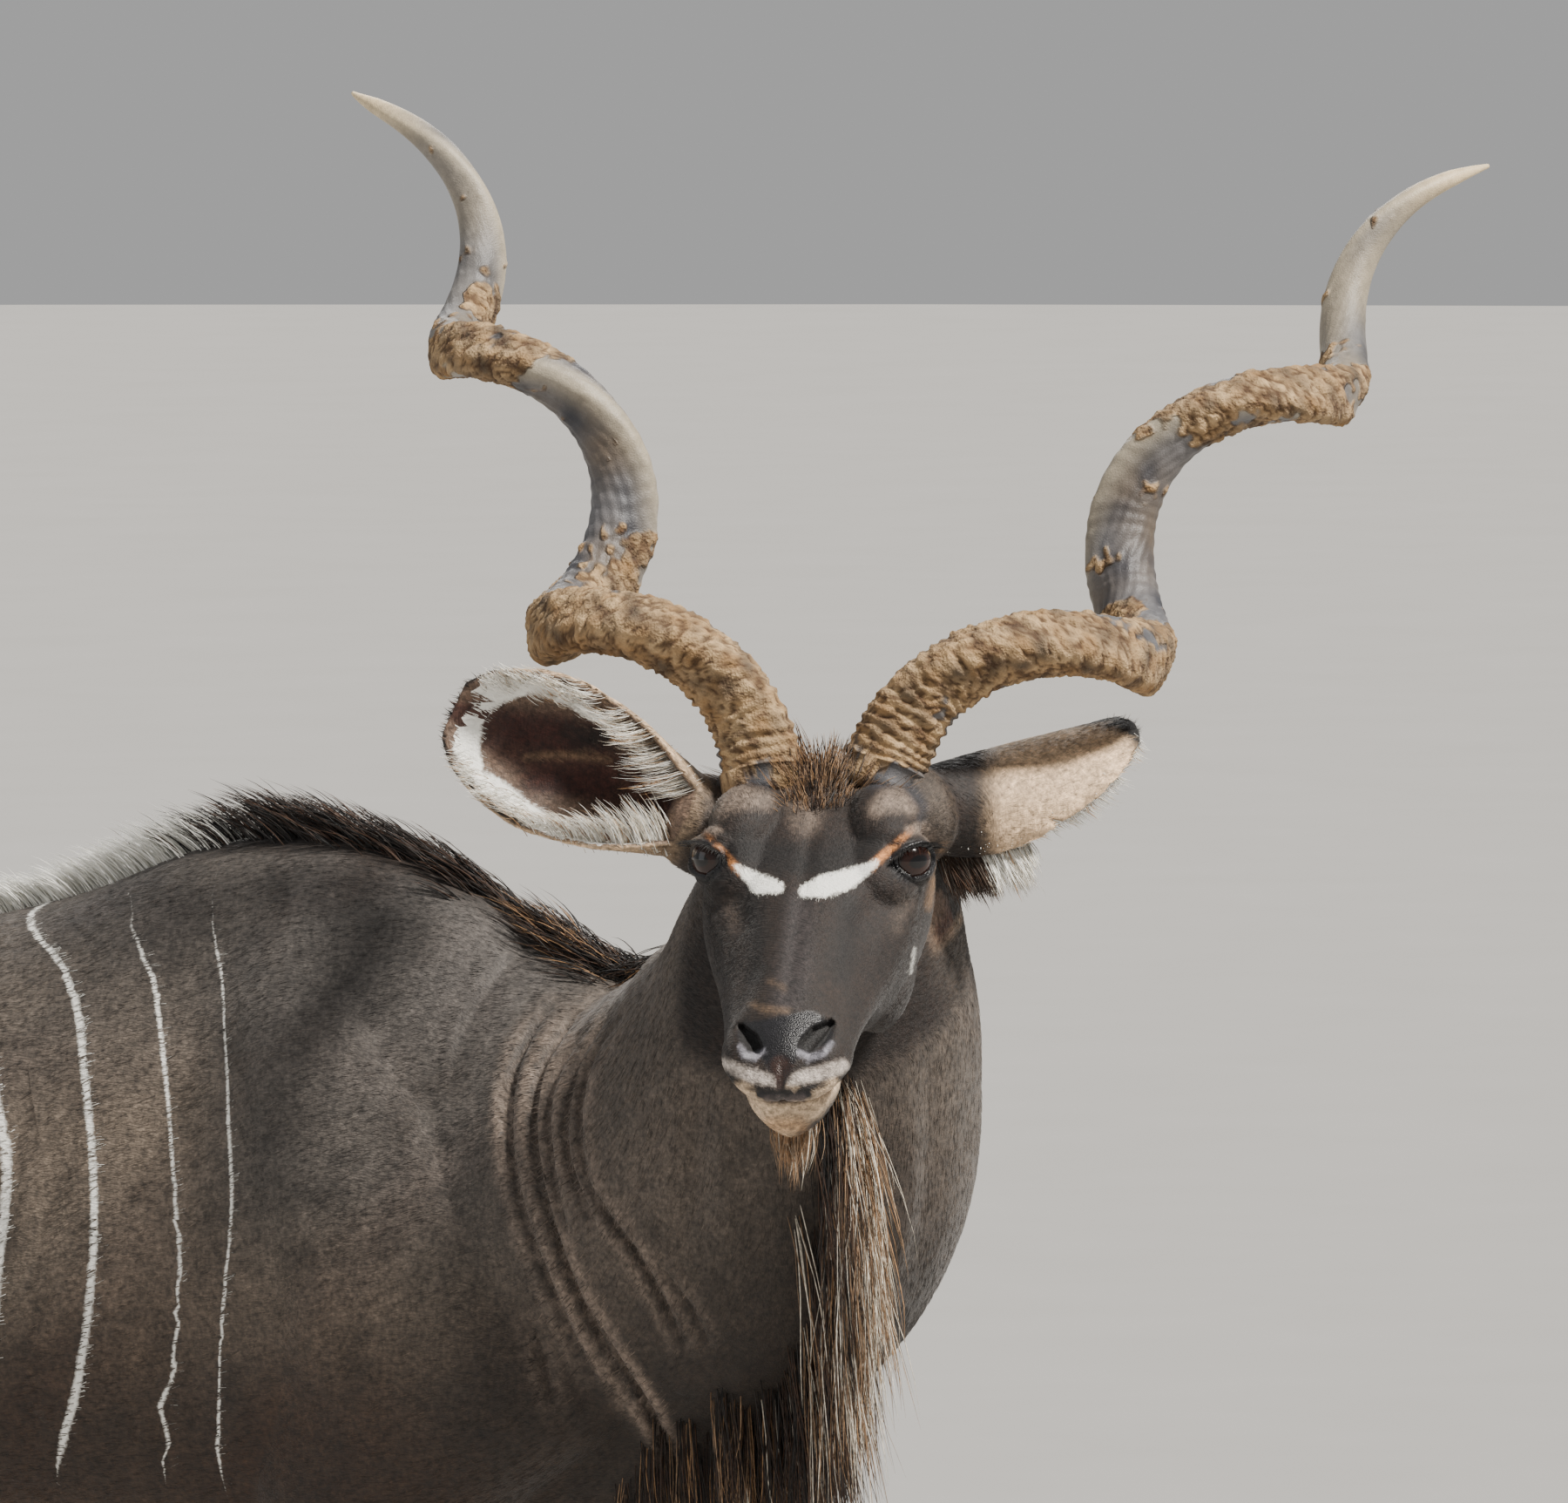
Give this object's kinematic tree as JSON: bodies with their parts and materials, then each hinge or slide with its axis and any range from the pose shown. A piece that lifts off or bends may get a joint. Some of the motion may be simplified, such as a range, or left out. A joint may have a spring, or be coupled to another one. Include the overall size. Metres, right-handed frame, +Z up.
{
  "type": "greater kudu",
  "caption": "Life-size still model of a greater kudu bull with spiral horns, standing and looking round to its right, for a museum display.",
  "frame": {"origin": "middle of the model's footprint box, on the floor under the hooves", "axes": "+X is the animal's left, -Y is the way its body faces, +Z is up"},
  "size_m": [1.0034, 2.0126, 2.0198],
  "materials": {
    "body_coat": "short grey-brown fur with white stripes and long mane hair",
    "face_coat": "very short dark brown fur with a white chevron and a bare dark nose",
    "ear_coat": "short tan fur outside, thin pale hair over dark skin inside",
    "leg_coat": "short tan-brown fur",
    "horn": "dry ridged horn, caked with pale clay, polished ivory tips",
    "eye": "wet dark brown eye",
    "hoof": "dark smooth hoof horn"
  },
  "bodies": {
    "root": {"head": "face_coat", "neck": "body_coat", "torso": "body_coat", "tail": "body_coat", "horn_left": "horn", "horn_right": "horn", "ear_left": "ear_coat", "ear_right": "ear_coat", "eye_left": "eye", "eye_right": "eye", "leg_front_left": "leg_coat", "leg_front_right": "leg_coat", "leg_hind_left": "leg_coat", "leg_hind_right": "leg_coat", "hoof_front_left_outer": "hoof", "hoof_front_left_inner": "hoof", "hoof_front_right_outer": "hoof", "hoof_front_right_inner": "hoof", "hoof_hind_left_outer": "hoof", "hoof_hind_left_inner": "hoof", "hoof_hind_right_outer": "hoof", "hoof_hind_right_inner": "hoof"}
  },
  "joints": []
}
